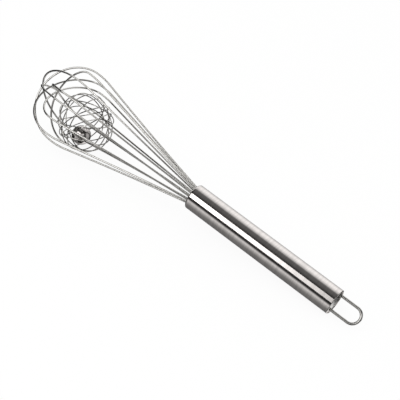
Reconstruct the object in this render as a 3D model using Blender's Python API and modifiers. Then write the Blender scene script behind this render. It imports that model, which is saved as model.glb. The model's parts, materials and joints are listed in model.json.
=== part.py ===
"""Ball whisk: a steel tube handle, seven bent wires that make the balloon, and a wire cage with a loose
steel ball that rolls about inside it. Lengths are in metres. The whisk's own frame has its origin at the
middle of the handle's mouth, +X along the handle to the hanging loop and the balloon towards -X. The whole
whisk is then tilted so that it lies on a table, on the handle's rear edge and the balloon's lowest wires.
"""

import math

import bmesh
import bpy
import numpy as np
from mathutils import Matrix, Vector

MM = 0.001

# Gap between pieces that seat on each other
SEAT_GAP = 0.3 * MM

# Handle tube
TUBE_RADIUS = 10.0 * MM
TUBE_WALL = 0.8 * MM
TUBE_LENGTH = 130.0 * MM
MOUTH_LIP_WALL = 1.8 * MM
MOUTH_LIP_LENGTH = 2.4 * MM
MOUTH_ROUND = 1.3 * MM
REAR_ROUND = 0.3 * MM

# Balloon wires: they stand in a ring in the mouth, spread to the belly and close over the tip
WIRE_RADIUS = 0.7 * MM
RING_INSET = 3.7 * MM
WIRE_GRIP = 22.0 * MM
BELLY_FROM_MOUTH = 117.4 * MM
BELLY_RADIUS = 31.3 * MM
BELLY_ROUNDING = 1.4 * MM
LEG_HOLLOW = 0.6 * MM
RUN_STEPS = 5
FLARE_STEPS = 4
CROWN_STEPS = 20

# Each wire: the bends of its two legs round the axis in degrees, how far its crown stands beyond the belly,
# and how far the crown is pushed aside along the whisk's Y and Z. The wires are in the order of the ring.
BALLOON_WIRES = (
    ((0.4, -1.6), 33.6 * MM, (0.2 * MM, 0.2 * MM)),
    ((-1.0, 0.4), 20.8 * MM, (0.0 * MM, 3.5 * MM)),
    ((-6.5, -12.0), 29.9 * MM, (0.6 * MM, 0.4 * MM)),
    ((-2.2, -11.4), 18.2 * MM, (-0.4 * MM, 3.5 * MM)),
    ((-13.8, -5.3), 28.0 * MM, (-3.6 * MM, -1.4 * MM)),
    ((0.2, -2.2), 31.8 * MM, (-2.5 * MM, -0.8 * MM)),
    ((-0.6, 1.0), 16.3 * MM, (-5.6 * MM, -0.1 * MM)),
)

# Wire holder behind the mouth's lip
HOLDER_BACK = 4.7 * MM
HOLDER_ROUND = 0.5 * MM

# Cap and hanging loop at the rear
CAP_LENGTH = 5.0 * MM
CAP_SETBACK = 0.3 * MM
CAP_ROUND = 0.4 * MM
LOOP_RADIUS = 1.1 * MM
LOOP_INSET = 3.8 * MM
LOOP_STAND = 22.0 * MM
LOOP_ROOT = 14.0 * MM
LOOP_TURN = 46.2
LOOP_STEPS = 16

# Cage ball: one wire wound in nine turns that all cross near its two poles, where it is a little flat
CAGE_RADIUS = 22.4 * MM
CAGE_POLE_REACH = 20.0 * MM
CAGE_WIRE_RADIUS = 0.4 * MM
CAGE_TURNS = 9
CAGE_POLE_MISS = 3.8 * MM
CAGE_WEAVE = 1.1 * MM
CAGE_BEFORE_BELLY = 12.6 * MM
CAGE_POLE_TURN = -11.3
CAGE_JOIN_GAP = 1.2 * MM
CROSSING_POINTS = 3
SIDE_POINTS = 5
LEAST_LOOP_GAP = 0.4 * MM

# Steel ball inside the cage
BALL_RADIUS = 7.5 * MM
BALL_CLEARANCE = 1.1 * MM
BALL_SWING = -3.0

# How finely round shapes are drawn, and how finely distances are measured
TURN_STEPS = 48
ROUND_STEPS = 4
HOLE_SIDES = 24
DROP_HALVINGS = 18
COARSE_STEPS = 12
FINE_STEPS = 48

# Colour and roughness of each steel finish
BRUSHED = ((0.62, 0.61, 0.59), 0.28)
TURNED = ((0.45, 0.45, 0.45), 0.4)
SMOOTH = ((0.6, 0.6, 0.59), 0.2)
POLISHED_WIRE = ((0.64, 0.64, 0.62), 0.12)
MIRROR = ((0.66, 0.66, 0.65), 0.05)

# Worked out from the sizes above
TUBE_BORE = TUBE_RADIUS - TUBE_WALL
RING_RADIUS = TUBE_RADIUS - RING_INSET
LOOP_REACH = TUBE_RADIUS - LOOP_INSET
CAGE_CENTRE = CAGE_BEFORE_BELLY - BELLY_FROM_MOUTH


def polar(angle):
    """Unit vector across the whisk at an angle in degrees, from straight down towards +Y."""
    return Vector((0.0, math.sin(math.radians(angle)), -math.cos(math.radians(angle))))


LOOP_SIDE = polar(90.0 + LOOP_TURN)
CAGE_LIE = Matrix.Rotation(math.radians(CAGE_POLE_TURN), 3, "Z") @ Matrix.Rotation(math.pi / 2, 3, "X")


def along(points, count):
    """Points close together along a run, as an array: as many as count on each of its straight pieces."""
    points = np.array([tuple(point) for point in points])
    share = np.linspace(0.0, 1.0, count, endpoint=False)[None, :, None]
    dense = points[:-1, None] + (points[1:] - points[:-1])[:, None] * share
    return np.concatenate([dense.reshape(-1, 3), points[-1:]])


def least_distance(first, second):
    """The least distance between two sets of points."""
    return min(float(np.linalg.norm(second - point, axis=1).min()) for point in first)


def leg_profile():
    """(distance from the mouth, distance off the axis) down one leg: a long run that is drawn in a little
    half way, then an arc to the belly."""
    slope = (BELLY_RADIUS + BELLY_ROUNDING - RING_RADIUS) / BELLY_FROM_MOUTH
    spread = math.atan(slope)
    arc_radius = BELLY_ROUNDING / (slope * math.sin(spread) + math.cos(spread) - 1)
    flare_start = BELLY_FROM_MOUTH - arc_radius * math.sin(spread)
    profile = []
    for step in range(RUN_STEPS):
        distance = flare_start * step / RUN_STEPS
        drawn_in = LEG_HOLLOW * math.sin(math.pi * step / RUN_STEPS)
        profile.append((distance, RING_RADIUS + slope * distance - drawn_in))
    for step in range(FLARE_STEPS + 1):
        turn = spread * (1 - step / FLARE_STEPS)
        distance = BELLY_FROM_MOUTH - arc_radius * math.sin(turn)
        profile.append((distance, BELLY_RADIUS - arc_radius * (1 - math.cos(turn))))
    return profile


def leg_points(ring_angle, bend):
    """One leg from its end in the holder to the belly. Its bend to one side is complete at the flare."""
    profile = leg_profile()
    flare_start = profile[RUN_STEPS][0]
    points = [Vector((WIRE_GRIP, 0.0, 0.0)) + RING_RADIUS * polar(ring_angle)]
    for distance, radius in profile:
        left = max(0.0, 1.0 - distance / flare_start) * RING_RADIUS / radius
        angle = ring_angle + bend * (1.0 - left)
        points.append(Vector((-distance, 0.0, 0.0)) + radius * polar(angle))
    return points


def balloon_wire_points(index, bends, crown_height, crown_shift):
    """The whole run of one balloon wire: a leg, the crown over the tip, and the leg on the other side."""
    legs = len(BALLOON_WIRES) * 2
    angles = [360.0 / legs * (slot + 0.5) for slot in (index, index + legs // 2)]
    first, second = (leg_points(angle, bend) for angle, bend in zip(angles, bends))
    ends = [polar(angle + bend) for angle, bend in zip(angles, bends)]
    half = (ends[0] - ends[1]) / 2
    mean = (ends[0] + ends[1]) / 2
    shift = Vector((0.0, *crown_shift))
    crown = []
    for step in range(1, CROWN_STEPS):
        turn = math.pi * step / CROWN_STEPS
        rise = math.sin(turn)
        across = BELLY_RADIUS * (math.cos(turn) * half + math.cos(turn) ** 2 * mean) + rise**2 * shift
        crown.append(across - Vector((BELLY_FROM_MOUTH + crown_height * rise, 0.0, 0.0)))
    return first + crown + second[::-1]


def cage_loop():
    """The cage's closed run about its centre, with its poles on its own Z axis, before the join is opened.

    Each half turn runs from pole to pole in a plane that misses the axis a little. From pole to pole the
    wire moves from above the mean sphere to below it, so that the turns cross without touching.
    """
    step = 360.0 / CAGE_TURNS
    near = []
    for k in range(1, CROSSING_POINTS + 1):
        off_axis = CAGE_POLE_MISS * math.tan(math.radians(step * k / 2))
        near.append(math.degrees(off_axis / CAGE_RADIUS))
    shares = [k / (SIDE_POINTS + 1) for k in range(1, SIDE_POINTS + 1)]
    between = [near[-1] + (180.0 - 2 * near[-1]) * share for share in shares]
    angles = [0.0] + near + between + [180.0 - angle for angle in reversed(near)]
    high = [1.0] * CROSSING_POINTS
    low = [-1.0] * CROSSING_POINTS
    weave = [0.0] + high + [math.cos(math.pi * share) for share in shares] + low
    radius = math.sqrt(CAGE_RADIUS**2 - CAGE_POLE_MISS**2)
    flatness = CAGE_POLE_REACH / CAGE_RADIUS
    points = []
    for half in range(2 * CAGE_TURNS):
        for angle, height in zip(angles, weave):
            turn = math.radians(angle + 180.0 * half)
            reach = radius + CAGE_WEAVE * height
            point = Vector((CAGE_POLE_MISS, reach * math.sin(turn), flatness * reach * math.cos(turn)))
            points.append(Matrix.Rotation(turn * step / 360.0, 3, "Z") @ point)
    return points


def cage_points():
    """The cage's run with the wire's two ends at the join, half way from pole to pole."""
    loop = cage_loop()
    middle = CROSSING_POINTS + (SIDE_POINTS + 1) // 2
    run = loop[middle:] + loop[: middle + 1]
    ahead = (run[1] - run[0]).normalized()
    behind = (run[-1] - run[-2]).normalized()
    run[0] = run[0] + ahead * CAGE_JOIN_GAP / 2
    run[-1] = run[-1] - behind * CAGE_JOIN_GAP / 2
    return run


def least_loop_gap(points, radius):
    """The least gap of a wound wire to itself, leaving out the stretches that follow one another."""
    runs = np.array([tuple(point) for point in points])
    share = np.linspace(0.0, 1.0, 8)[None, :, None]
    dense = runs[:-1, None] + (runs[1:] - runs[:-1])[:, None] * share
    count = len(dense)
    next_ones = (CROSSING_POINTS + SIDE_POINTS) // 2 + 2
    least = math.inf
    for index in range(count):
        apart = np.abs(np.arange(count) - index)
        others = dense[np.minimum(apart, count - apart) >= next_ones].reshape(-1, 3)
        least = min(least, least_distance(dense[index], others))
    return least - 2 * radius


def material(name, finish):
    """The piece's own material, from a colour and a roughness."""
    colour, roughness = finish
    made = bpy.data.materials.new(name)
    made.use_nodes = True
    shader = made.node_tree.nodes["Principled BSDF"]
    shader.inputs["Base Color"].default_value = (*colour, 1.0)
    shader.inputs["Metallic"].default_value = 1.0
    shader.inputs["Roughness"].default_value = roughness
    return made


def place(name, data, finish, frame, parts):
    """An object of the whisk under its frame, with its own material."""
    made = bpy.data.objects.new(name, data)
    data.materials.append(material(name, finish))
    parts.objects.link(made)
    made.parent = frame
    return made


def wire(name, points, radius, finish, frame, parts, sides=2):
    """A round wire along points, closed at both ends."""
    curve = bpy.data.curves.new(name, "CURVE")
    curve.dimensions = "3D"
    curve.bevel_depth = radius
    curve.bevel_resolution = sides
    curve.use_fill_caps = True
    spline = curve.splines.new("POLY")
    spline.points.add(len(points) - 1)
    for spot, point in zip(spline.points, points):
        spot.co = (*point, 1.0)
    return place(name, curve, finish, frame, parts)


def rounded(corners):
    """An outline of (radius, height, round), with an arc at each corner that has one."""
    outline = []
    count = len(corners)
    for index, (radius, height, size) in enumerate(corners):
        corner = Vector((radius, height))
        if not size:
            outline.append(corner)
            continue
        back = (Vector(corners[index - 1][:2]) - corner).normalized()
        ahead = (Vector(corners[(index + 1) % count][:2]) - corner).normalized()
        for step in range(ROUND_STEPS + 1):
            turn = math.pi / 2 * step / ROUND_STEPS
            outline.append(corner + size * (back * (1 - math.sin(turn)) + ahead * (1 - math.cos(turn))))
    return outline


def turned(name, corners, closed, finish, frame, parts):
    """A piece turned about the handle's axis, from an outline of radius and distance behind the mouth."""
    outline = rounded(corners)
    mesh = bpy.data.meshes.new(name)
    profile = bmesh.new()
    spots = [profile.verts.new((point.x, 0.0, point.y)) for point in outline]
    for first, second in zip(spots, spots[1:]):
        profile.edges.new((first, second))
    if closed:
        profile.edges.new((spots[-1], spots[0]))
    profile.to_mesh(mesh)
    profile.free()
    made = place(name, mesh, finish, frame, parts)
    made.rotation_euler = (0.0, math.pi / 2, 0.0)
    screw = made.modifiers.new("Turn", "SCREW")
    screw.axis = "Z"
    screw.steps = TURN_STEPS
    screw.render_steps = TURN_STEPS
    screw.use_merge_vertices = True
    screw.merge_threshold = 0.01 * MM
    screw.use_smooth_shade = True
    return made


def handle_tube(frame, parts):
    """A thin tube, drawn in to a thicker rounded lip at the mouth."""
    lip = TUBE_RADIUS - MOUTH_LIP_WALL
    corners = (
        (TUBE_RADIUS, TUBE_LENGTH, REAR_ROUND),
        (TUBE_RADIUS, 0.0, MOUTH_ROUND),
        (lip, 0.0, 0.0),
        (lip, MOUTH_LIP_LENGTH, 0.0),
        (TUBE_BORE, MOUTH_LIP_LENGTH, 0.0),
        (TUBE_BORE, TUBE_LENGTH, 0.0),
    )
    return turned("handle_tube", corners, True, BRUSHED, frame, parts)


def wire_holder(frame, parts):
    """A plug behind the mouth's lip, with a ring groove that the fourteen wire ends stand in."""
    radius = TUBE_BORE - SEAT_GAP
    front = MOUTH_LIP_LENGTH + SEAT_GAP
    base = WIRE_GRIP + SEAT_GAP
    rear = base + HOLDER_BACK
    groove_outer = RING_RADIUS + WIRE_RADIUS + SEAT_GAP
    groove_inner = RING_RADIUS - WIRE_RADIUS - SEAT_GAP
    corners = (
        (0.0, rear, 0.0),
        (radius, rear, HOLDER_ROUND),
        (radius, front, HOLDER_ROUND),
        (groove_outer, front, 0.0),
        (groove_outer, base, 0.0),
        (groove_inner, base, 0.0),
        (groove_inner, front, 0.0),
        (0.0, front, 0.0),
    )
    return turned("wire_holder", corners, False, TURNED, frame, parts)


def leg_hole_cutter(name, centre, frame, cutters):
    """The drill for one leg of the hanging loop, along the handle's axis."""
    mesh = bpy.data.meshes.new(name)
    drill = bmesh.new()
    radius = LOOP_RADIUS + SEAT_GAP
    bmesh.ops.create_cone(
        drill, cap_ends=True, segments=HOLE_SIDES, radius1=radius, radius2=radius, depth=3 * CAP_LENGTH
    )
    drill.to_mesh(mesh)
    drill.free()
    cutter = bpy.data.objects.new(name, mesh)
    cutters.objects.link(cutter)
    cutter.parent = frame
    cutter.location = centre
    cutter.rotation_euler = (0.0, math.pi / 2, 0.0)
    cutter.hide_render = True
    cutter.display_type = "WIRE"
    return cutter


def end_cap(frame, parts, cutters):
    """The plug in the tube's rear end, drilled for the two legs of the hanging loop."""
    radius = TUBE_BORE - SEAT_GAP
    rear = TUBE_LENGTH - CAP_SETBACK
    corners = (
        (0.0, rear, 0.0),
        (radius, rear, CAP_ROUND),
        (radius, rear - CAP_LENGTH, 0.0),
        (0.0, rear - CAP_LENGTH, 0.0),
    )
    cap = turned("end_cap", corners, False, SMOOTH, frame, parts)
    middle = Vector((rear - CAP_LENGTH / 2, 0.0, 0.0))
    for index, side in enumerate((1, -1)):
        name = f"leg_hole_cutter_{index + 1}"
        hole = cap.modifiers.new(name, "BOOLEAN")
        hole.operation = "DIFFERENCE"
        hole.object = leg_hole_cutter(name, middle + side * LOOP_REACH * LOOP_SIDE, frame, cutters)
    return cap


def hanging_loop(frame, parts):
    """A U of thick wire with its legs through the end cap."""
    root = Vector((TUBE_LENGTH - CAP_SETBACK - LOOP_ROOT, 0.0, 0.0))
    bow = TUBE_LENGTH + LOOP_STAND - LOOP_REACH - LOOP_RADIUS
    points = [root + LOOP_REACH * LOOP_SIDE]
    for step in range(LOOP_STEPS + 1):
        turn = math.pi * step / LOOP_STEPS
        ahead = Vector((bow + LOOP_REACH * math.sin(turn), 0.0, 0.0))
        points.append(ahead + LOOP_REACH * math.cos(turn) * LOOP_SIDE)
    points.append(root - LOOP_REACH * LOOP_SIDE)
    return wire("hanging_loop", points, LOOP_RADIUS, POLISHED_WIRE, frame, parts)


def steel_ball(cage_frame, parts):
    """The loose ball, at its lowest place inside the cage."""
    mesh = bpy.data.meshes.new("steel_ball")
    sphere = bmesh.new()
    bmesh.ops.create_uvsphere(sphere, u_segments=24, v_segments=16, radius=BALL_RADIUS)
    for face in sphere.faces:
        face.smooth = True
    sphere.to_mesh(mesh)
    sphere.free()
    ball = place("steel_ball", mesh, MIRROR, cage_frame, parts)
    orbit = CAGE_RADIUS - CAGE_WIRE_RADIUS - BALL_CLEARANCE - BALL_RADIUS
    swing = math.radians(BALL_SWING)
    lowest = Vector((orbit * math.sin(swing), 0.0, -orbit * math.cos(swing)))
    ball.location = CAGE_LIE.inverted() @ lowest
    return ball


def lie_angle(wires):
    """The tilt that brings the handle's rear edge and the lowest balloon wire down to one table."""
    steepest = 0.0
    for points in wires:
        for point in along(points, COARSE_STEPS):
            drop = -point[2] + WIRE_RADIUS - TUBE_RADIUS
            steepest = max(steepest, math.atan2(drop, TUBE_LENGTH - point[0]))
    return steepest


def cage_drop(wires, cage):
    """How far under the whisk's axis the cage's centre lies when it rests on the lowest wires."""
    clear = WIRE_RADIUS + CAGE_WIRE_RADIUS + SEAT_GAP
    balloon = np.concatenate([along(points, FINE_STEPS) for points in wires])
    shell = along([CAGE_LIE @ point for point in cage], COARSE_STEPS)
    low = 0.0
    high = BELLY_RADIUS - CAGE_RADIUS
    for _ in range(DROP_HALVINGS):
        drop = (low + high) / 2
        centre = np.array((CAGE_CENTRE, 0.0, -drop))
        reach = np.linalg.norm(balloon - centre, axis=1)
        close = balloon[reach < CAGE_RADIUS + CAGE_WEAVE + 4 * clear]
        if len(close) == 0 or least_distance(close, shell + centre) > clear:
            low = drop
        else:
            high = drop
    return low


def stand_on_table(frame, parts):
    """Moves the frame so that the middle of the whisk's underside is at the world's origin."""
    bpy.context.view_layer.update()
    graph = bpy.context.evaluated_depsgraph_get()
    low = Vector((math.inf,) * 3)
    high = Vector((-math.inf,) * 3)
    for part in parts.objects:
        if part.type not in ("MESH", "CURVE"):
            continue
        shape = part.evaluated_get(graph)
        mesh = shape.to_mesh()
        for vertex in mesh.vertices:
            spot = shape.matrix_world @ vertex.co
            low = Vector(map(min, low, spot))
            high = Vector(map(max, high, spot))
        shape.to_mesh_clear()
    frame.location -= Vector(((low.x + high.x) / 2, (low.y + high.y) / 2, low.z))
    bpy.context.view_layer.update()


def main():
    for item in list(bpy.data.objects):
        bpy.data.objects.remove(item, do_unlink=True)
    parts = bpy.data.collections.new("ball_whisk")
    cutters = bpy.data.collections.new("cutters")
    bpy.context.scene.collection.children.link(parts)
    bpy.context.scene.collection.children.link(cutters)
    frame = bpy.data.objects.new("whisk_frame", None)
    parts.objects.link(frame)

    handle_tube(frame, parts)
    wire_holder(frame, parts)
    end_cap(frame, parts, cutters)
    hanging_loop(frame, parts)

    wires = []
    for index, (bends, crown_height, crown_shift) in enumerate(BALLOON_WIRES):
        wires.append(balloon_wire_points(index, bends, crown_height, crown_shift))
        wire(f"balloon_wire_{index + 1}", wires[-1], WIRE_RADIUS, POLISHED_WIRE, frame, parts)

    cage = cage_points()
    gap = least_loop_gap(cage, CAGE_WIRE_RADIUS)
    print(f"cage wire: least gap to itself {gap / MM:.2f} mm, wanted over {LEAST_LOOP_GAP / MM:.1f} mm")
    drop = cage_drop(wires, cage)
    cage_frame = bpy.data.objects.new("cage_frame", None)
    cage_frame.parent = frame
    cage_frame.location = (CAGE_CENTRE, 0.0, -drop)
    cage_frame.rotation_euler = CAGE_LIE.to_euler()
    parts.objects.link(cage_frame)
    wire("cage_ball", cage, CAGE_WIRE_RADIUS, POLISHED_WIRE, cage_frame, parts, sides=1)
    steel_ball(cage_frame, parts)

    tilt = lie_angle(wires)
    frame.rotation_euler = (0.0, tilt, 0.0)
    stand_on_table(frame, parts)
    print(f"tilt {math.degrees(tilt):.3f} degrees, cage {drop / MM:.3f} mm under the axis")
    for empty in (frame, cage_frame):
        print(empty.name, [round(value / MM, 3) for value in empty.matrix_world.translation])


main()
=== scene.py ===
"""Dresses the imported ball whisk: smooth turned and bent steel pieces round its solids, with a small studio.

Lengths are in metres. The whisk's own frame has its origin at the middle of the handle's mouth, +X along
the handle to the hanging loop and the balloon towards -X, and WHISK turns it to where the whisk lies.
"""

import json
import math

import bmesh
import bpy
from bpy.props import FloatProperty, FloatVectorProperty, IntProperty, PointerProperty
from bpy.types import NodeSocket, Operator, Panel, PropertyGroup
from mathutils import Matrix, Vector


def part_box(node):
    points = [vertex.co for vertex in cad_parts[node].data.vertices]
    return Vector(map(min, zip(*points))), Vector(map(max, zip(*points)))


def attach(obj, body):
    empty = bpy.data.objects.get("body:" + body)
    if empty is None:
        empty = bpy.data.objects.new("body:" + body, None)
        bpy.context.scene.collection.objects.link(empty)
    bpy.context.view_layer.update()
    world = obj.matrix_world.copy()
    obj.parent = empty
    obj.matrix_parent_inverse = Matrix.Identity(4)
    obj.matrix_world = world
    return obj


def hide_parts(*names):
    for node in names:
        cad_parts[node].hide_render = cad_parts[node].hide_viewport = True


bl_info = {
    "name": "Ball whisk",
    "version": (1, 0, 0),
    "blender": (4, 5, 0),
    "location": "3D View > Sidebar > Ball whisk",
    "description": "Builds a steel ball whisk round its packed solids, with its stage and camera",
    "category": "Add Mesh",
}

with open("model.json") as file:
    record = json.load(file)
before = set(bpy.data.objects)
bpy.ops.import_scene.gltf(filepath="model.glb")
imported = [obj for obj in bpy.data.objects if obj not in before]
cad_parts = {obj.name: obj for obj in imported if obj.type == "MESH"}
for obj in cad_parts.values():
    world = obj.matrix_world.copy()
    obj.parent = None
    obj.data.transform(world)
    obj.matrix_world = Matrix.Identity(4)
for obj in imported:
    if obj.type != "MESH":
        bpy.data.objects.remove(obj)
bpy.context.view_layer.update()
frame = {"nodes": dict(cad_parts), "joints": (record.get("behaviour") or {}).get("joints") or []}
MM = 0.001

# Where the whisk lies: tilted onto the handle's rear edge and the balloon's lowest wires
LIE_TILT = math.radians(4.975)
MOUTH_PLACE = Vector((-0.163, -0.307, 21.21)) * MM
WHISK = Matrix.Translation(MOUTH_PLACE) @ Matrix.Rotation(LIE_TILT, 4, "Y")

# The cage's centre, round which the ball rolls, and the box of the ball's solid
JOINTS = {joint["name"]: joint for joint in frame["joints"]}
CAGE_PLACE = Vector(JOINTS["ball_roll"]["pos_m"])
BALL_LOW, BALL_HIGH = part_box("steel_ball")

# Each balloon wire: the bends of its two legs in degrees, how far its crown stands beyond the belly, and
# how far the crown is pushed aside along the whisk's Y and Z. The wires are in the order of the ring.
BALLOON_WIRES = (
    ((0.4, -1.6), 33.6 * MM, (0.2 * MM, 0.2 * MM)),
    ((-1.0, 0.4), 20.8 * MM, (0.0 * MM, 3.5 * MM)),
    ((-6.5, -12.0), 29.9 * MM, (0.6 * MM, 0.4 * MM)),
    ((-2.2, -11.4), 18.2 * MM, (-0.4 * MM, 3.5 * MM)),
    ((-13.8, -5.3), 28.0 * MM, (-3.6 * MM, -1.4 * MM)),
    ((0.2, -2.2), 31.8 * MM, (-2.5 * MM, -0.8 * MM)),
    ((-0.6, 1.0), 16.3 * MM, (-5.6 * MM, -0.1 * MM)),
)

# How finely the pieces are drawn: the points round them, the steps along their curves, and how close two
# points of the cap lie when they are one
TUBE_SIDES = 144
ROUND_STEPS = 6
RUN_STEPS = 30
FLARE_STEPS = 12
CROWN_STEPS = 96
WIRE_SIDES = 14
CAGE_SIDES = 10
CAGE_DEGREES = 3.0
LOOP_STEPS = 48
LOOP_SIDES = 24
DOME_STEPS = 12
MERGE_DISTANCE = 0.001 * MM
BALL_SUBDIVISIONS = 5
TENT_SIDES = 72
SHARP_ANGLE = math.radians(35.0)

# The attribute that holds each point's place as if its piece were straight: across it in X and Y, along in Z
STRAIGHT = "straight"

# Bare steel: how far apart smears from handling lie, where the noise of the smears and of the lines is cut
# off below and above, how much darker the bottom of a fine line is painted (painted shade in the groove), how
# deep it is for its width, and the least and most share of their roughness that lathe rings have
SMEAR_SIZE = 9.0 * MM
SMEAR_CUTS = (0.3, 0.7)
LINE_CUTS = (0.38, 0.62)
LINE_SHADE = 0.86
LINE_DEPTH = 0.004
RING_ROUGHNESS = (0.7, 1.3)

# The tube's inner edges, how near its roundings the flank has a ring that keeps it straight, how far the
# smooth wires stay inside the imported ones' box, the first and last crossings near a pole, and the longest
# step along a wire
INNER_EDGE = 0.2 * MM
KEEP_STRAIGHT = 0.1 * MM
INSIDE = 0.12 * MM
CROSSINGS = (1, 3)
LONGEST_STEP = 3.0 * MM

# Camera in the whisk's own frame, the lamp's place, how far the floor lies under the whisk, and the share
# of the backdrop's white that the eye sees in the floor
CAMERA_PLACE = Vector((254.1, -585.0, 561.9)) * MM
CAMERA_AIM = Vector((-0.2924, 0.6902, -0.6619))
CAMERA_UP = Vector((-0.5723, 0.4282, 0.6993))
SENSOR_WIDTH = 36.0
LAMP_PLACE = Vector((-0.4, -0.7, 1.3))
FLOOR_GAP = 0.1 * MM
FLOOR_WHITE = 0.92

# The light tent, seen only in reflections: bands of cloth by their angle round the whisk in degrees, from
# straight ahead up over the top, and how bright they are
TENT_BANDS = (
    (-180.0, 0.80),
    (-160.0, 0.60),
    (-145.0, 0.30),
    (-128.0, 0.14),
    (-105.0, 0.15),
    (-75.0, 0.17),
    (-50.0, 0.23),
    (-35.0, 0.42),
    (-24.0, 0.60),
    (-15.0, 0.80),
    (-7.0, 0.58),
    (0.0, 0.10),
    (4.0, 0.01),
    (62.0, 0.02),
    (68.0, 0.05),
    (80.0, 0.10),
    (98.0, 0.12),
    (106.0, 0.18),
    (112.0, 0.50),
    (119.0, 0.75),
    (135.0, 1.15),
    (155.0, 1.25),
    (172.0, 1.00),
    (180.0, 0.80),
)
# How bright the dark cloth is, to which the bands are added
TENT_DARK = 0.02
# The bands fade out towards the whisk's two ends. Places are the X of the direction in which the mouth sees
# the cloth: the middle of the bands, and how far from it they begin to fade and are gone.
TENT_MIDDLE = -0.26
BANDS_FADE = (0.22, 0.36)
# Bright bands reach further: the greys that count as dull and as fully bright, how far from the middle
# they begin and stop fading, and the share that is left of them
BRIGHT_BANDS = (0.5, 0.9)
BRIGHT_FADE = (0.50, 0.70)
BRIGHT_LEFT = 0.10
# All bands come back at part strength towards the hanging loop: the X where that begins and is complete,
# and that strength
LOOP_END = (0.50, 0.70)
LOOP_END_SHARE = 0.55
# The half of the tent on the loop's side is open between these angles, where the backdrop shows
TENT_OPENING = (-134.0, -80.0)

# Flat softboxes along the whisk, which stand inside the tent: the angle round the whisk where each one
# stands and how far it reaches to each side in degrees, its two ends along the whisk's X, how far off it
# stands, how much of its length the light takes to fall off at either end, and how bright it is. A weaker
# one carries on from the main one towards the loop. The small card stands close to the balloon, so that it
# shows in the near wires and not in the loop. At its ends each one keeps a share of its light.
SOFTBOXES = (
    ("main_softbox", (38.4, 17.2), (-2.0, -0.15), 2.0, 0.45, 2.6),
    ("loop_end_softbox", (38.4, 17.2), (-0.12, 1.1), 2.0, 0.4, 0.75),
    ("fill_softbox", (63.4, 12.0), (0.9, 1.9), 2.0, 0.45, 1.6),
    ("near_card", (38.4, 15.0), (-0.19, -0.06), 0.4, 0.04, 3.6),
)
SOFTBOX_END_GLOW = 0.33


def linear(code):
    """A colour written as sRGB hex, as the linear values that a shader takes."""
    values = [int(code[start : start + 2], 16) / 255 for start in (1, 3, 5)]
    return [v / 12.92 if v <= 0.04045 else ((v + 0.055) / 1.055) ** 2.4 for v in values]


def add(tree, kind, inputs=None, **settings):
    """Adds a node with its settings, and gives each input a value or a link from another node's output."""
    node = tree.nodes.new("ShaderNode" + kind)
    for name, value in settings.items():
        setattr(node, name, value)
    for name, value in (inputs or {}).items():
        if isinstance(value, NodeSocket):
            tree.links.new(value, node.inputs[name])
        else:
            node.inputs[name].default_value = value
    return node


def new_material(name):
    """An empty node material and its tree."""
    made = bpy.data.materials.new(name)
    made.use_nodes = True
    made.node_tree.nodes.clear()
    return made, made.node_tree


def steel_finish(name, tint, roughness, spread, line_width, line_length, around=False):
    """Bare steel with fine lines left by how it was made, from the lines' width and length.

    The lines run along the piece or around it. The roughness also wanders by spread in wide smears, as
    it does where steel has been handled and washed.
    """
    made, tree = new_material(name)
    run = add(tree, "Attribute", attribute_name=STRAIGHT, attribute_type="GEOMETRY")
    wide = 1 / line_width
    far = 1 / line_length
    stretch = (far, far, wide) if around else (wide, wide, far)
    lined = add(tree, "VectorMath", {0: run.outputs["Vector"], 1: stretch}, operation="MULTIPLY")
    noise = add(tree, "TexNoise", {"Vector": lined.outputs["Vector"], "Scale": 1.0, "Detail": 3.0})
    low, high = LINE_CUTS
    lines = add(tree, "MapRange", {"Value": noise.outputs["Fac"], "From Min": low, "From Max": high})
    smears = add(tree, "TexNoise", {"Vector": run.outputs["Vector"], "Scale": 1 / SMEAR_SIZE, "Detail": 4.0})
    smear_low, smear_high = SMEAR_CUTS
    smeared = {
        "Value": smears.outputs["Fac"],
        "From Min": smear_low,
        "From Max": smear_high,
        "To Min": roughness - spread,
        "To Max": roughness + spread,
    }
    smeared_rough = add(tree, "MapRange", smeared)
    lined_rough = {0: lines.outputs["Result"], 1: spread, 2: smeared_rough.outputs["Result"]}
    rough = add(tree, "Math", lined_rough, operation="MULTIPLY_ADD")
    # The bottoms of the fine lines are painted darker in the base colour: painted shade in the grooves.
    dark = [value * LINE_SHADE for value in tint]
    shades = {"Factor": lines.outputs["Result"], "A": (*dark, 1.0), "B": (*tint, 1.0)}
    shade = add(tree, "Mix", shades, data_type="RGBA")
    bump = add(tree, "Bump", {"Height": noise.outputs["Fac"], "Distance": line_width * LINE_DEPTH})
    steel = {
        "Base Color": shade.outputs["Result"],
        "Metallic": 1.0,
        "Roughness": rough.outputs["Value"],
        "Normal": bump.outputs["Normal"],
    }
    surface = add(tree, "BsdfPrincipled", steel)
    add(tree, "OutputMaterial", {"Surface": surface.outputs["BSDF"]})
    return made


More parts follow.
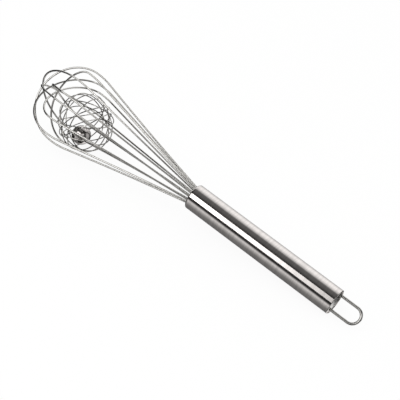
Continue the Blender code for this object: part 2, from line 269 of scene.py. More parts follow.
def lathed_finish(name, tint, roughness, ring_width):
    """Steel faced on a lathe: fine rings about the whisk's axis, from their real width."""
    made, tree = new_material(name)
    place = add(tree, "TexCoord")
    to_whisk = WHISK.inverted()
    moved = {
        "Vector": place.outputs["Object"],
        "Location": to_whisk.to_translation(),
        "Rotation": to_whisk.to_euler(),
    }
    whisk_place = add(tree, "Mapping", moved)
    flattened = {0: whisk_place.outputs["Vector"], 1: (0.0, 1.0, 1.0)}
    flat = add(tree, "VectorMath", flattened, operation="MULTIPLY")
    radius = add(tree, "VectorMath", {0: flat.outputs["Vector"]}, operation="LENGTH")
    ringed = {"W": radius.outputs["Value"], "Scale": 1 / ring_width, "Detail": 2.0}
    rings = add(tree, "TexNoise", ringed, noise_dimensions="1D")
    least, most = RING_ROUGHNESS
    ring_rough = {"Value": rings.outputs["Fac"], "To Min": roughness * least, "To Max": roughness * most}
    rough = add(tree, "MapRange", ring_rough)
    bump = add(tree, "Bump", {"Height": rings.outputs["Fac"], "Distance": ring_width * LINE_DEPTH})
    steel = {
        "Base Color": (*tint, 1.0),
        "Metallic": 1.0,
        "Roughness": rough.outputs["Result"],
        "Normal": bump.outputs["Normal"],
    }
    surface = add(tree, "BsdfPrincipled", steel)
    add(tree, "OutputMaterial", {"Surface": surface.outputs["BSDF"]})
    return made


def polar(angle):
    """Unit vector across the whisk at an angle in degrees, from straight down towards +Y."""
    return Vector((0.0, math.sin(math.radians(angle)), -math.cos(math.radians(angle))))


def leg_profile(sizes):
    """(how far from the mouth, how far off the axis) down one leg: a long run that is drawn in a little half
    way, then an arc to the belly."""
    belly = sizes.belly_radius - INSIDE
    reach = sizes.belly_from_mouth
    slope = (belly + sizes.belly_rounding - sizes.ring_radius) / reach
    spread = math.atan(slope)
    arc_radius = sizes.belly_rounding / (slope * math.sin(spread) + math.cos(spread) - 1)
    flare_start = reach - arc_radius * math.sin(spread)
    profile = []
    for step in range(RUN_STEPS):
        down = flare_start * step / RUN_STEPS
        drawn_in = sizes.leg_hollow * math.sin(math.pi * step / RUN_STEPS)
        profile.append((down, sizes.ring_radius + slope * down - drawn_in))
    for step in range(FLARE_STEPS + 1):
        turn = spread * (1 - step / FLARE_STEPS)
        profile.append((reach - arc_radius * math.sin(turn), belly - arc_radius * (1 - math.cos(turn))))
    return profile


def leg_points(sizes, ring_angle, bend):
    """One leg from its end in the holder to the belly. Its bend to one side is complete at the flare."""
    profile = leg_profile(sizes)
    flare_start = profile[RUN_STEPS][0]
    points = [Vector((sizes.grip, 0.0, 0.0)) + sizes.ring_radius * polar(ring_angle)]
    for down, radius in profile:
        left = max(0.0, 1.0 - down / flare_start) * sizes.ring_radius / radius
        angle = ring_angle + bend * (1.0 - left)
        points.append(Vector((-down, 0.0, 0.0)) + radius * polar(angle))
    return points


def balloon_wire_points(sizes, index):
    """The whole run of one balloon wire: a leg, the crown over the tip, and the leg on the other side."""
    bends, crown_height, crown_shift = BALLOON_WIRES[index]
    legs = len(BALLOON_WIRES) * 2
    angles = [360.0 / legs * (slot + 0.5) for slot in (index, index + legs // 2)]
    first, second = (leg_points(sizes, angle, bend) for angle, bend in zip(angles, bends))
    ends = [polar(angle + bend) for angle, bend in zip(angles, bends)]
    half = (ends[0] - ends[1]) / 2
    mean = (ends[0] + ends[1]) / 2
    shift = Vector((0.0, *crown_shift))
    crown = []
    for step in range(1, CROWN_STEPS):
        turn = math.pi * step / CROWN_STEPS
        rise = math.sin(turn)
        across = math.cos(turn) * half + math.cos(turn) ** 2 * mean
        ahead = Vector((sizes.belly_from_mouth + (crown_height - INSIDE) * rise, 0.0, 0.0))
        crown.append((sizes.belly_radius - INSIDE) * across + rise**2 * shift - ahead)
    return first + crown + second[::-1]


def cage_points(sizes):
    """The cage's run about its centre, with its poles on its own Z axis. It closes on itself.

    Each half turn runs from pole to pole in a plane that misses the axis a little. From pole to pole the
    wire moves from above the mean sphere to below it, so that the turns cross without touching.
    """
    step = 360.0 / sizes.turns
    offs = [sizes.pole_miss * math.tan(math.radians(step * k / 2)) for k in CROSSINGS]
    first, last = (math.degrees(off / sizes.radius) for off in offs)
    radius = math.sqrt(sizes.radius**2 - sizes.pole_miss**2)
    flatness = sizes.pole_reach / sizes.radius
    count = round(360.0 * sizes.turns / CAGE_DEGREES)
    points = []
    for index in range(count):
        degrees = 360.0 * sizes.turns * index / count
        off_pole = degrees % 180.0
        side = 1.0 if off_pole <= 90.0 else -1.0
        off_pole = min(off_pole, 180.0 - off_pole)
        if off_pole < first:
            height = math.sin(math.pi / 2 * off_pole / first)
        elif off_pole < last:
            height = 1.0
        else:
            height = math.cos(math.pi * (off_pole - last) / (180.0 - 2 * last))
        reach = radius + sizes.weave * height * side
        turn = math.radians(degrees)
        point = Vector((sizes.pole_miss, reach * math.sin(turn), flatness * reach * math.cos(turn)))
        points.append(Matrix.Rotation(turn * step / 360.0, 3, "Z") @ point)
    return points


def loop_points(sizes, tube_length):
    """The hanging loop's run: a leg from inside the tube, a half round bow, and the other leg."""
    side = polar(90.0 + math.degrees(sizes.turn))
    root = Vector((tube_length - sizes.root, 0.0, 0.0))
    bow = tube_length + sizes.stand - sizes.reach - sizes.radius - INSIDE
    points = [root + sizes.reach * side]
    for step in range(LOOP_STEPS + 1):
        turn = math.pi * step / LOOP_STEPS
        ahead = Vector((bow + sizes.reach * math.sin(turn), 0.0, 0.0))
        points.append(ahead + sizes.reach * math.cos(turn) * side)
    points.append(root - sizes.reach * side)
    return points


def cap_outline(sizes, face):
    """The end cap's outline: its domed face with the middle height at face, its flank and its flat back."""
    reach = sizes.cap_radius - sizes.cap_round
    outline = []
    for step in range(DOME_STEPS):
        out = step / DOME_STEPS
        outline.append((reach * out, face + sizes.cap_dome * (0.5 - out**2), 0.0))
    outline.append((sizes.cap_radius, face - sizes.cap_dome / 2, sizes.cap_round))
    outline.append((sizes.cap_radius, face - sizes.cap_length, 0.0))
    outline.append((0.0, face - sizes.cap_length, 0.0))
    return outline


def evenly(points, longest):
    """The same run with more points on its straight pieces, so that none is longer than this."""
    dense = [points[0]]
    for start, end in zip(points, points[1:]):
        pieces = max(1, math.ceil((end - start).length / longest))
        dense += [start.lerp(end, step / pieces) for step in range(1, pieces + 1)]
    return dense


def shown_piece(name, shape, straight, finish, place, body, node):
    """The object of a piece, smooth but for its sharp edges. It rides on a body and is shown for a node."""
    mesh = bpy.data.meshes.new(name)
    bmesh.ops.recalc_face_normals(shape, faces=shape.faces)
    for face in shape.faces:
        face.smooth = True
    shape.to_mesh(mesh)
    shape.free()
    mesh.transform(place)
    mesh.set_sharp_from_angle(angle=SHARP_ANGLE)
    spots = mesh.attributes.new(STRAIGHT, "FLOAT_VECTOR", "POINT")
    spots.data.foreach_set("vector", [value for spot in straight for value in spot])
    mesh.materials.append(finish)
    made = bpy.data.objects.new(name, mesh)
    bpy.context.scene.collection.objects.link(made)
    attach(made, body)
    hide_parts(node)


def sweep(points, radius, sides, closed=False):
    """A round wire along its points, closed into a ring or capped at its two ends, and its straightened
    places."""
    shape = bmesh.new()
    count = len(points)
    rings = []
    straight = []
    along = 0.0
    across = None
    for index, point in enumerate(points):
        before = points[index - 1] if index or closed else point
        after = points[(index + 1) % count] if index + 1 < count or closed else point
        way = (after - before).normalized()
        across = (across - across.dot(way) * way).normalized() if across else way.orthogonal().normalized()
        upright = way.cross(across)
        along += (point - points[index - 1]).length if index else 0.0
        ring = []
        for side in range(sides):
            turn = 2 * math.pi * side / sides
            x, y = radius * math.cos(turn), radius * math.sin(turn)
            ring.append(shape.verts.new(point + x * across + y * upright))
            straight.append((x, y, along))
        rings.append(ring)
    pairs = list(zip(rings, rings[1:]))
    if closed:
        nearest = min(range(sides), key=lambda side: (rings[-1][0].co - rings[0][side].co).length)
        pairs.append((rings[-1], rings[0][nearest:] + rings[0][:nearest]))
    else:
        shape.faces.new(rings[0][::-1])
        shape.faces.new(rings[-1])
    for first, second in pairs:
        for side in range(sides):
            after = (side + 1) % sides
            shape.faces.new((first[side], first[after], second[after], second[side]))
    return shape, straight


def rounded(corners):
    """An outline of (radius, height, round), with an arc at each corner that has one."""
    outline = []
    count = len(corners)
    for index, (radius, height, size) in enumerate(corners):
        corner = Vector((radius, height))
        if not size:
            outline.append(corner)
            continue
        back = (Vector(corners[index - 1][:2]) - corner).normalized()
        ahead = (Vector(corners[(index + 1) % count][:2]) - corner).normalized()
        for step in range(ROUND_STEPS + 1):
            turn = math.pi / 2 * step / ROUND_STEPS
            outline.append(corner + size * (back * (1 - math.sin(turn)) + ahead * (1 - math.cos(turn))))
    return outline


def turned(outline):
    """A piece turned about X from a closed outline, and its straightened places."""
    shape = bmesh.new()
    straight = []
    rings = []
    for side in range(TUBE_SIDES):
        turn = 2 * math.pi * side / TUBE_SIDES
        ring = []
        for radius, height in outline:
            x, y = radius * math.cos(turn), radius * math.sin(turn)
            ring.append(shape.verts.new((height, x, y)))
            straight.append((x, y, height))
        rings.append(ring)
    for first, second in zip(rings, rings[1:] + rings[:1]):
        for spot in range(len(outline)):
            after = (spot + 1) % len(outline)
            shape.faces.new((first[spot], first[after], second[after], second[spot]))
    return shape, straight


def drilled(shape, spots, radius, depth):
    """The same piece with round holes along X, each with its middle at one of these spots."""
    pieces = []
    drills = bmesh.new()
    for spot in spots:
        place = Matrix.Translation(spot) @ Matrix.Rotation(math.pi / 2, 4, "Y")
        bmesh.ops.create_cone(
            drills,
            cap_ends=True,
            segments=LOOP_SIDES,
            radius1=radius,
            radius2=radius,
            depth=depth,
            matrix=place,
        )
    for part in (shape, drills):
        bmesh.ops.recalc_face_normals(part, faces=part.faces)
        mesh = bpy.data.meshes.new("drilling")
        part.to_mesh(mesh)
        part.free()
        pieces.append(bpy.data.objects.new("drilling", mesh))
        bpy.context.scene.collection.objects.link(pieces[-1])
    blank, drill = pieces
    cut = blank.modifiers.new("holes", "BOOLEAN")
    cut.object = drill
    cut.solver = "EXACT"
    finished = blank.evaluated_get(bpy.context.evaluated_depsgraph_get())
    made = bmesh.new()
    made.from_mesh(finished.to_mesh())
    finished.to_mesh_clear()
    for piece in pieces:
        mesh = piece.data
        bpy.data.objects.remove(piece)
        bpy.data.meshes.remove(mesh)
    return made


def distance(default, name, description):
    """A length that the user can change."""
    return FloatProperty(name=name, description=description, default=default, unit="LENGTH", precision=5)


def rotation(degrees, name, description):
    """A turn that the user can change, from its default in degrees."""
    return FloatProperty(name=name, description=description, default=math.radians(degrees), unit="ROTATION")


def amount(default, name, description, **limits):
    """A number that the user can change."""
    return FloatProperty(name=name, description=description, default=default, **limits)


def group_of(kind, name, description):
    """The values of one group, which the user can change."""
    return PointerProperty(type=kind, name=name, description=description)


def colour(code, name, description):
    """A colour that the user can change, from its sRGB hex."""
    return FloatVectorProperty(
        name=name, description=description, default=linear(code), subtype="COLOR", size=3, min=0.0, max=1.0
    )


class HandleSizes(PropertyGroup):
    radius: distance(10.0 * MM, "Radius", "Outside radius of the tube")
    length: distance(130.0 * MM, "Length", "From the mouth to the rear edge")
    wall: distance(0.8 * MM, "Wall", "Thickness of the tube's wall")
    lip_wall: distance(1.8 * MM, "Lip wall", "Thickness of the lip at the mouth")
    lip_length: distance(2.4 * MM, "Lip length", "How deep the thick lip goes")
    mouth_round: distance(1.3 * MM, "Mouth round", "Rounding of the lip's outer edge")
    rear_round: distance(0.6 * MM, "Rear round", "Rounding of the rear outer edge")
    steel: colour("#dfdad7", "Steel", "Colour that the tube's steel gives its reflections")


class LoopSizes(PropertyGroup):
    radius: distance(1.1 * MM, "Wire radius", "Radius of the loop's wire")
    reach: distance(6.2 * MM, "Reach", "From the handle's axis to the middle of each leg")
    stand: distance(22.0 * MM, "Stand", "How far the loop stands out behind the tube")
    root: distance(14.3 * MM, "Root", "How far the legs' ends lie inside the tube")
    turn: rotation(46.2, "Turn", "The loop's turn about the handle's axis")
    steel: colour("#cccac6", "Steel", "Colour that the loop's wire gives its reflections")
    cap_radius: distance(8.9 * MM, "Cap radius", "Radius of the end cap")
    cap_length: distance(5.0 * MM, "Cap length", "Thickness of the end cap")
    cap_setback: distance(0.3 * MM, "Cap setback", "How deep the cap's face lies behind the tube's rear edge")
    cap_round: distance(0.4 * MM, "Cap round", "Rounding of the cap's outer edge")
    cap_dome: distance(0.7 * MM, "Cap dome", "Height of the middle of the cap's face over its edge")
    leg_gap: distance(0.3 * MM, "Leg gap", "Gap round each leg of the loop where it goes through the cap")
    cap_steel: colour("#dcdad7", "Cap steel", "Colour that the end cap gives its reflections")


class WireSizes(PropertyGroup):
    radius: distance(0.7 * MM, "Wire radius", "Radius of the balloon's wires")
    ring_radius: distance(6.3 * MM, "Ring radius", "Radius of the wires' ring at the mouth")
    grip: distance(22.0 * MM, "Grip", "How far the wires reach into the handle")
    belly_from_mouth: distance(117.4 * MM, "Belly distance", "From the mouth to the widest place")
    belly_radius: distance(31.3 * MM, "Belly radius", "From the axis to the wires at the widest place")
    belly_rounding: distance(1.4 * MM, "Belly rounding", "What the belly's arc takes off the straight cone")
    leg_hollow: distance(0.6 * MM, "Leg hollow", "How far the legs are drawn in half way")
    steel: colour("#dad8d4", "Steel", "Colour that the balloon's wires give their reflections")
    # The holder's colour is darker than the wires' steel: painted shade for its place deep in the mouth.
    holder_steel_and_painted_shade: colour("#8f8e8c", "Holder steel and painted shade", "Colour that the wire holder gives its reflections")


class CageSizes(PropertyGroup):
    radius: distance(22.4 * MM, "Radius", "From the cage's centre to the middle of its wire")
    pole_reach: distance(20.0 * MM, "Pole reach", "From the cage's centre to its wire at a pole")
    wire_radius: distance(0.4 * MM, "Wire radius", "Radius of the cage's wire")
    turns: IntProperty(name="Turns", description="Whole turns of the wire", default=9, min=3, max=24)
    pole_miss: distance(3.8 * MM, "Pole miss", "How far each turn passes from the pole")
    weave: distance(0.5 * MM, "Weave", "How far the wire moves in and out where turns cross")
    pole_turn: rotation(-11.3, "Pole turn", "The poles' turn from the whisk's Y")
    steel: colour("#b4b2ae", "Steel", "Colour that the cage's wire gives its reflections")


class BallSizes(PropertyGroup):
    radius: distance(7.5 * MM, "Radius", "Radius of the ball")
    steel: colour("#dcd7d5", "Steel", "Colour that the ball gives its reflections")


class StageSizes(PropertyGroup):
    backdrop: colour("#ffffff", "Backdrop", "Colour behind the whisk and in its reflections")
    floor: colour("#fcfcfb", "Floor", "Colour of the floor's paper")
    floor_size: distance(6.0, "Floor size", "Length of the floor's sides")
    sky_light: amount(0.85, "Sky light", "Strength of the even light", min=0.0)
    lamp_power: amount(5.0, "Lamp", "Power of the soft lamp", unit="POWER")
    lamp_size: distance(0.9, "Lamp size", "Length of the soft lamp's sides")
    softbox_glow: amount(1.0, "Softbox glow", "Share of the softboxes' light", min=0.0)
    tent_radius: distance(3.0, "Tent radius", "From the handle's mouth to the light tent")
    lens: amount(104.8, "Lens", "Focal length", min=20.0, max=300.0)


class BallWhisk(PropertyGroup):
    handle: group_of(HandleSizes, "Handle", "Sizes and steel of the tube handle")
    loop: group_of(LoopSizes, "Hanging loop", "Sizes and steel of the loop and the end cap")
    wires: group_of(WireSizes, "Balloon", "Sizes and steel of the balloon's wires")
    cage: group_of(CageSizes, "Cage ball", "Sizes and steel of the wire cage")
    ball: group_of(BallSizes, "Steel ball", "Size and steel of the loose ball")
    stage: group_of(StageSizes, "Stage", "Floor, light and camera")


class BuildHandle(Operator):
    """Build the tube handle with its rounded mouth"""

    bl_idname = "ball_whisk.handle"
    bl_label = "Tube handle"

    def execute(self, context):
        sizes = context.scene.ball_whisk.handle
        bore = sizes.radius - sizes.wall
        lip = sizes.radius - sizes.lip_wall
        corners = (
            (sizes.radius, sizes.length, sizes.rear_round),
            (sizes.radius, sizes.length - sizes.rear_round - KEEP_STRAIGHT, 0.0),
            (sizes.radius, sizes.mouth_round + KEEP_STRAIGHT, 0.0),
            (sizes.radius, 0.0, sizes.mouth_round),
            (lip, 0.0, INNER_EDGE),
            (lip, sizes.lip_length, 0.0),
            (bore, sizes.lip_length, 0.0),
            (bore, sizes.length, INNER_EDGE),
        )
        # Stainless 304 tube, ground round and polished. The grinding leaves hair lines round the tube, so
        # highlights smear along it while the bands across it stay crisp. The real lines are about 0.05 mm
        # wide; here they are 1.1 mm, so that they show.
        finish = steel_finish(
            "ground_304_tube",
            sizes.steel,
            roughness=0.08,
            spread=0.02,
            line_width=1.1 * MM,
            line_length=16 * MM,
            around=True,
        )
        shape, straight = turned(rounded(corners))
        shown_piece("handle_tube_ground", shape, straight, finish, WHISK, "whisk", "handle_tube")
        return {"FINISHED"}


class BuildRearEnd(Operator):
    """Build the hanging loop and the end cap that it goes through"""

    bl_idname = "ball_whisk.rear_end"
    bl_label = "Rear end"

    def execute(self, context):
        sizes = context.scene.ball_whisk.loop
        tube_length = context.scene.ball_whisk.handle.length
        points = evenly(loop_points(sizes, tube_length), LONGEST_STEP)
        # Thick 304 wire, bent and ground: greyer flanks than the bright wires, with marks along its run
        # drawn 0.3 mm wide so that they show.
        finish = steel_finish(
            "ground_304_loop_wire",
            sizes.steel,
            roughness=0.16,
            spread=0.03,
            line_width=0.3 * MM,
            line_length=30 * MM,
        )
        shape, straight = sweep(points, sizes.radius, LOOP_SIDES)
        shown_piece("hanging_loop_wire", shape, straight, finish, WHISK, "whisk", "hanging_loop")
        # Pressed 304 disc, a little domed and faced on a lathe: rings 0.2 mm apart that turn the light into
        # a soft fan, dark on one side and light on the other.
        cap = lathed_finish(
            "lathe_faced_304_cap",
            sizes.cap_steel,
            roughness=0.25,
            ring_width=0.2 * MM,
        )
        face = tube_length - sizes.cap_setback
        disc, _ = turned(rounded(cap_outline(sizes, face)))
        bmesh.ops.remove_doubles(disc, verts=disc.verts, dist=MERGE_DISTANCE)
        side = polar(90.0 + math.degrees(sizes.turn))
        middle = Vector((face - sizes.cap_length / 2, 0.0, 0.0))
        spots = [middle + sizes.reach * side, middle - sizes.reach * side]
        disc = drilled(disc, spots, sizes.radius + sizes.leg_gap, 2 * sizes.cap_length)
        straight = [tuple(vertex.co) for vertex in disc.verts]
        shown_piece("end_cap_faced", disc, straight, cap, WHISK, "whisk", "end_cap")
        return {"FINISHED"}


class BuildBalloon(Operator):
    """Build the seven balloon wires and finish the holder that they stand in"""

    bl_idname = "ball_whisk.balloon"
    bl_label = "Balloon wires"

    def execute(self, context):
        sizes = context.scene.ball_whisk.wires
        # 304 wire, drawn through a die and electropolished. It is nearly a mirror, so each wire reads as
        # thin black and white lines, broken a little by die marks along it. The marks are drawn 0.25 mm
        # wide, coarser than the real ones, so that they show.
        finish = steel_finish(
            "bright_drawn_304_wire",
            sizes.steel,
            roughness=0.08,
            spread=0.02,
            line_width=0.25 * MM,
            line_length=30 * MM,
        )
        for index in range(len(BALLOON_WIRES)):
            points = evenly(balloon_wire_points(sizes, index), LONGEST_STEP)
            shape, straight = sweep(points, sizes.radius, WIRE_SIDES)
            node = f"balloon_wire_{index + 1}"
            shown_piece(f"{node}_drawn", shape, straight, finish, WHISK, "whisk", node)
        # Turned steel plug deep in the mouth: dull, with rings 0.3 mm apart. Its steel colour is darkened as
        # painted shade, for the shade that falls on it deep in the mouth between the wires.
        holder = lathed_finish(
            "holder_in_painted_shade_turned_steel",
            sizes.holder_steel_and_painted_shade,
            roughness=0.45,
            ring_width=0.3 * MM,
        )
        frame["nodes"]["wire_holder"].material_slots[0].material = holder
        return {"FINISHED"}


class BuildCage(Operator):
    """Wind the loose wire cage"""

    bl_idname = "ball_whisk.cage"
    bl_label = "Cage ball"

    def execute(self, context):
        sizes = context.scene.ball_whisk.cage
        # Thin 304 spring wire, tumbled after winding: a little duller than the balloon's wires. Its marks are
        # drawn 0.2 mm wide, coarser than the real ones, so that they show.
        finish = steel_finish(
            "tumbled_304_spring_wire",
            sizes.steel,
            roughness=0.12,
            spread=0.04,
            line_width=0.2 * MM,
            line_length=6 * MM,
        )
        shape, straight = sweep(cage_points(sizes), sizes.wire_radius, CAGE_SIDES, closed=True)
        lie = Matrix.Rotation(sizes.pole_turn, 4, "Z") @ Matrix.Rotation(math.pi / 2, 4, "X")
        place = Matrix.Translation(CAGE_PLACE) @ Matrix.Rotation(LIE_TILT, 4, "Y") @ lie
        shown_piece("cage_ball_winding", shape, straight, finish, place, "cage", "cage_ball")
        return {"FINISHED"}


class BuildBall(Operator):
    """Make the loose steel ball inside the cage"""

    bl_idname = "ball_whisk.ball"
    bl_label = "Steel ball"

    def execute(self, context):
        sizes = context.scene.ball_whisk.ball
        shape = bmesh.new()
        bmesh.ops.create_icosphere(shape, subdivisions=BALL_SUBDIVISIONS, radius=sizes.radius)
        straight = [tuple(vertex.co) for vertex in shape.verts]
        # Hardened chrome steel, lapped to a mirror: sharp reflections with a few hair scratches, which are
        # drawn 0.6 mm wide so that they show.
        finish = steel_finish(
            "lapped_chrome_steel",
            sizes.steel,
            roughness=0.04,
            spread=0.015,
            line_width=0.6 * MM,
            line_length=6 * MM,
        )
        place = Matrix.Translation((BALL_LOW + BALL_HIGH) / 2)
        shown_piece("steel_ball_lapped", shape, straight, finish, place, "ball", "steel_ball")
        return {"FINISHED"}


def white_to_sight(tree):
    """1 where the eye, a reflection or clear stuff looks, and 0 for light that spreads."""
    ray = add(tree, "LightPath").outputs
    seen = ray["Is Camera Ray"]
    for kind in ("Is Glossy Ray", "Is Transmission Ray"):
        seen = add(tree, "Math", {0: seen, 1: ray[kind]}, operation="MAXIMUM").outputs["Value"]
    return seen


def build_world(sizes):
    """Even light all round, which shows as the plain backdrop."""
    world = bpy.data.worlds.new("even_light")
    world.use_nodes = True
    tree = world.node_tree
    tree.nodes.clear()
    seen = add(tree, "Background", {"Color": (*sizes.backdrop, 1.0), "Strength": 1.0})
    light = add(tree, "Background", {"Color": (*sizes.backdrop, 1.0), "Strength": sizes.sky_light})
    mixed = add(tree, "MixShader", {0: white_to_sight(tree), 1: light.outputs[0], 2: seen.outputs[0]})
    add(tree, "OutputWorld", {"Surface": mixed.outputs["Shader"]})
    bpy.context.scene.world = world


def build_floor(sizes):
    """A matt paper floor. The backdrop's white is mixed in to the eye, and the whisk's shadow stays."""
    made, tree = new_material("matt_white_paper")
    paper = add(tree, "BsdfDiffuse", {"Color": (*sizes.floor, 1.0)})
    white = add(tree, "Emission", {"Color": (*sizes.backdrop, 1.0), "Strength": 1.0})
    share = add(tree, "Math", {0: white_to_sight(tree), 1: FLOOR_WHITE}, operation="MULTIPLY")
    mixed = add(tree, "MixShader", {0: share.outputs["Value"], 1: paper.outputs[0], 2: white.outputs[0]})
    add(tree, "OutputMaterial", {"Surface": mixed.outputs["Shader"]})
    mesh = bpy.data.meshes.new("paper_floor")
    shape = bmesh.new()
    bmesh.ops.create_grid(shape, x_segments=1, y_segments=1, size=sizes.floor_size / 2)
    shape.to_mesh(mesh)
    shape.free()
    mesh.materials.append(made)
    floor = bpy.data.objects.new("paper_floor", mesh)
    floor.location.z = -FLOOR_GAP
    floor.visible_glossy = False
    bpy.context.scene.collection.objects.link(floor)


def reflected_only(name, shape, finish, place):
    """A thing of the stage that lights the reflections and nothing else."""
    mesh = bpy.data.meshes.new(name)
    shape.to_mesh(mesh)
    shape.free()
    mesh.materials.append(finish)
    made = bpy.data.objects.new(name, mesh)
    made.matrix_world = place
    bpy.context.scene.collection.objects.link(made)
    for kind in ("camera", "diffuse", "transmission", "volume_scatter", "shadow"):
        setattr(made, f"visible_{kind}", False)


def build_tent(sizes):
    """A round tent of dark cloth with bright and grey bands that run along the whisk, and an opening."""
    made, tree = new_material("tent_cloth")
    place = add(tree, "TexCoord")
    way = add(tree, "VectorMath", {0: place.outputs["Object"]}, operation="NORMALIZE")
    split = add(tree, "SeparateXYZ", {"Vector": way.outputs["Vector"]})
    ahead = add(tree, "Math", {0: split.outputs["Y"], 1: -1.0}, operation="MULTIPLY")
    angle = add(tree, "Math", {0: split.outputs["Z"], 1: ahead.outputs["Value"]}, operation="ARCTAN2")
    turn = {"Value": angle.outputs["Value"], "From Min": -math.pi, "From Max": math.pi}
    share = add(tree, "MapRange", turn)
    bands = add(tree, "ValToRGB", {"Fac": share.outputs["Result"]})
    ramp = bands.color_ramp
    while len(ramp.elements) < len(TENT_BANDS):
        ramp.elements.new(1.0)
    for stop, (degrees, grey) in zip(ramp.elements, TENT_BANDS):
        stop.position = (degrees + 180.0) / 360.0
        stop.color = (grey, grey, grey, 1.0)
    moved = add(tree, "Math", {0: split.outputs["X"], 1: TENT_MIDDLE}, operation="SUBTRACT")
    off_middle = add(tree, "Math", {0: moved.outputs["Value"]}, operation="ABSOLUTE")
    reaches = []
    for value, places, start, end in (
        (off_middle.outputs["Value"], BANDS_FADE, 1.0, 0.0),
        (off_middle.outputs["Value"], BRIGHT_FADE, 1.0, BRIGHT_LEFT),
        (split.outputs["X"], LOOP_END, 0.0, LOOP_END_SHARE),
    ):
        near, far = places
        fade = {"Value": value, "From Min": near, "From Max": far, "To Min": start, "To Max": end}
        reaches.append(add(tree, "MapRange", fade, interpolation_type="SMOOTHSTEP").outputs["Result"])
    shown, bright_reach, loop_end = reaches
    least, most = BRIGHT_BANDS
    bright = add(tree, "MapRange", {"Value": bands.outputs["Color"], "From Min": least, "From Max": most})
    bright_kept = add(tree, "Math", {0: bright.outputs["Result"], 1: bright_reach}, operation="MULTIPLY")
    kept = bright_kept.outputs["Value"]
    for other in (shown, loop_end):
        kept = add(tree, "Math", {0: kept, 1: other}, operation="MAXIMUM").outputs["Value"]
    banded = {0: bands.outputs["Color"], 1: kept, 2: TENT_DARK}
    cloth = add(tree, "Math", banded, operation="MULTIPLY_ADD")
    glow = add(tree, "Emission", {"Color": cloth.outputs["Value"], "Strength": 1.0})
    add(tree, "OutputMaterial", {"Surface": glow.outputs["Emission"]})
    shape = bmesh.new()
    poles = Matrix.Rotation(math.pi / 2, 4, "Y")
    bmesh.ops.create_uvsphere(
        shape, u_segments=TENT_SIDES, v_segments=TENT_SIDES // 2, radius=sizes.tent_radius, matrix=poles
    )
    first, last = TENT_OPENING
    gone = []
    for face in shape.faces:
        spot = face.calc_center_median()
        if spot.x > 0.0 and first < math.degrees(math.atan2(spot.z, -spot.y)) < last:
            gone.append(face)
    bmesh.ops.delete(shape, geom=gone, context="FACES")
    reflected_only("light_tent", shape, made, WHISK)


def build_softboxes(sizes):
    """The softboxes, which show as white and pale highlights and fall off towards their ends."""
    for name, (angle, spread), ends, away, fall, glow in SOFTBOXES:
        middle = sum(ends) / 2
        half = (ends[1] - ends[0]) / 2
        made, tree = new_material(f"{name}_cloth")
        place = add(tree, "TexCoord")
        split = add(tree, "SeparateXYZ", {"Vector": place.outputs["Object"]})
        moved = add(tree, "Math", {0: split.outputs["X"], 1: middle}, operation="SUBTRACT")
        off_middle = add(tree, "Math", {0: moved.outputs["Value"]}, operation="ABSOLUTE")
        falling = {
            "Value": off_middle.outputs["Value"],
            "From Min": half - fall,
            "From Max": half,
            "To Min": glow * sizes.softbox_glow,
            "To Max": glow * sizes.softbox_glow * SOFTBOX_END_GLOW,
        }
        strength = add(tree, "MapRange", falling, interpolation_type="SMOOTHSTEP")
        lit = add(tree, "Emission", {"Color": (*sizes.backdrop, 1.0), "Strength": strength.outputs["Result"]})
        add(tree, "OutputMaterial", {"Surface": lit.outputs["Emission"]})
        out = Vector((0.0, -math.cos(math.radians(angle)), math.sin(math.radians(angle))))
        aside = away * math.tan(math.radians(spread)) * out.cross(Vector((1.0, 0.0, 0.0)))
        shape = bmesh.new()
        corners = []
        for end, side in ((0, -1), (1, -1), (1, 1), (0, 1)):
            corners.append(shape.verts.new(Vector((ends[end], 0.0, 0.0)) + away * out + side * aside))
        shape.faces.new(corners)
        reflected_only(name, shape, made, WHISK)


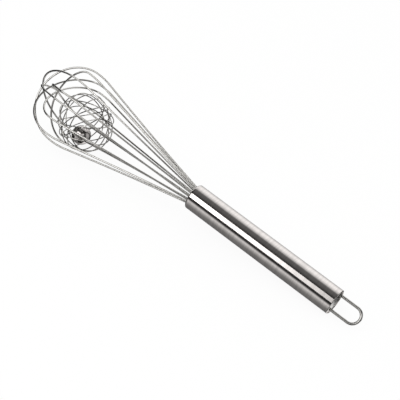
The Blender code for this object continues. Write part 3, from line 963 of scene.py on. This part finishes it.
class BuildStage(Operator):
    """Set the floor, the light and the camera"""

    bl_idname = "ball_whisk.stage"
    bl_label = "Stage"

    def execute(self, context):
        sizes = context.scene.ball_whisk.stage
        build_world(sizes)
        build_floor(sizes)
        build_tent(sizes)
        build_softboxes(sizes)
        light = bpy.data.lights.new("soft_lamp", "AREA")
        light.energy = sizes.lamp_power
        light.size = sizes.lamp_size
        lamp = bpy.data.objects.new("soft_lamp", light)
        lamp.location = LAMP_PLACE
        lamp.rotation_euler = (-LAMP_PLACE).to_track_quat("-Z", "Y").to_euler()
        lamp.visible_glossy = False
        context.scene.collection.objects.link(lamp)
        lens = bpy.data.cameras.new("camera")
        lens.lens = sizes.lens
        lens.sensor_width = SENSOR_WIDTH
        camera = bpy.data.objects.new("camera", lens)
        back = -CAMERA_AIM.normalized()
        right = CAMERA_UP.cross(back).normalized()
        up = back.cross(right)
        turn = Matrix((right, up, back)).transposed().to_4x4()
        camera.matrix_world = WHISK @ Matrix.Translation(CAMERA_PLACE) @ turn
        context.scene.collection.objects.link(camera)
        context.scene.camera = camera
        context.scene.view_settings.view_transform = "Standard"
        return {"FINISHED"}


class BallWhiskPanel(Panel):
    """Sizes of the ball whisk and the operators that build its pieces"""

    bl_idname = "VIEW3D_PT_ball_whisk"
    bl_label = "Ball whisk"
    bl_space_type = "VIEW_3D"
    bl_region_type = "UI"
    bl_category = "Ball whisk"

    def draw(self, context):
        whisk = context.scene.ball_whisk
        for group, operator in GROUPS:
            box = self.layout.box()
            sizes = getattr(whisk, group)
            for name in sizes.bl_rna.properties.keys():
                if name not in ("rna_type", "name"):
                    box.prop(sizes, name)
            box.operator(operator.bl_idname)


# What the panel lists, and the order of building
GROUPS = (
    ("stage", BuildStage),
    ("handle", BuildHandle),
    ("loop", BuildRearEnd),
    ("wires", BuildBalloon),
    ("cage", BuildCage),
    ("ball", BuildBall),
)
CLASSES = (
    HandleSizes,
    LoopSizes,
    WireSizes,
    CageSizes,
    BallSizes,
    StageSizes,
    BallWhisk,
    *(operator for _, operator in GROUPS),
    BallWhiskPanel,
)


def register():
    for item in CLASSES:
        bpy.utils.register_class(item)
    bpy.types.Scene.ball_whisk = PointerProperty(type=BallWhisk)


def unregister():
    del bpy.types.Scene.ball_whisk
    for item in reversed(CLASSES):
        bpy.utils.unregister_class(item)


def main():
    register()
    for _, operator in GROUPS:
        getattr(bpy.ops.ball_whisk, operator.bl_idname.split(".")[1])()


if __name__ == "__main__":
    main()
